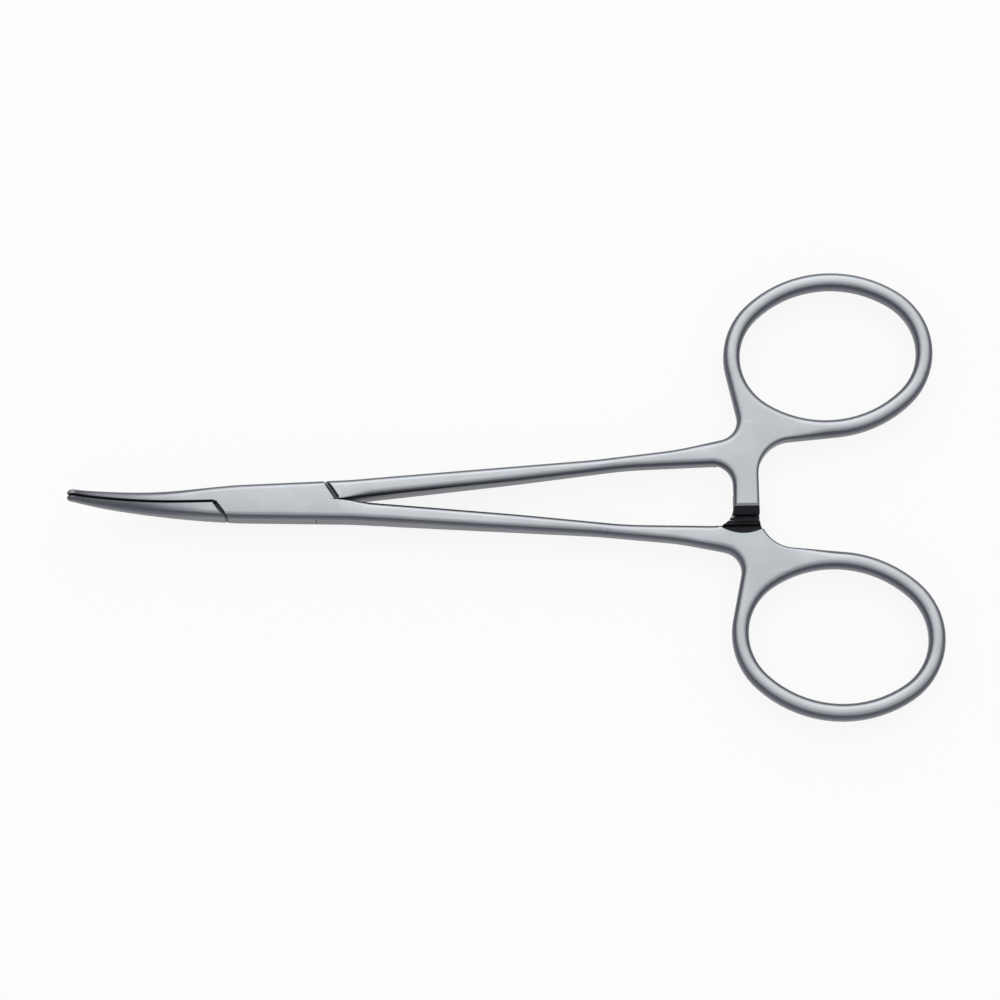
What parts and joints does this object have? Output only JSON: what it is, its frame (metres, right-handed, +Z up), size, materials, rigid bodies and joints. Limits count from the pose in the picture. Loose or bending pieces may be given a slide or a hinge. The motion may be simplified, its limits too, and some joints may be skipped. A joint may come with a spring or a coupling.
{
  "type": "hemostat forceps",
  "caption": "Slim steel locking forceps with upward-curved serrated jaws, a box lock, long tapering shanks, oval finger rings and a saw-tooth ratchet between the shanks.",
  "frame": {"origin": "on the pivot's axis, at the flat underside of the box lock", "axes": "+X from the pivot towards the finger rings, +Y towards the ring of the arm that has the tongue, +Z up, the way the jaw tips curve"},
  "size_m": [0.1231, 0.0656, 0.0092],
  "materials": {
    "steel": "satin, brushed stainless steel"
  },
  "bodies": {
    "box_half": {"box_arm": "steel", "pivot_pin": "steel"},
    "tongue_half": {"tongue_arm": "steel"}
  },
  "joints": [
    {"name": "jaw_pivot", "type": "hinge", "parent": "box_half", "child": "tongue_half", "pos_m": [0, 0, 0.0022], "axis": [0, 0, 1], "range_deg": [0, 60]}
  ]
}
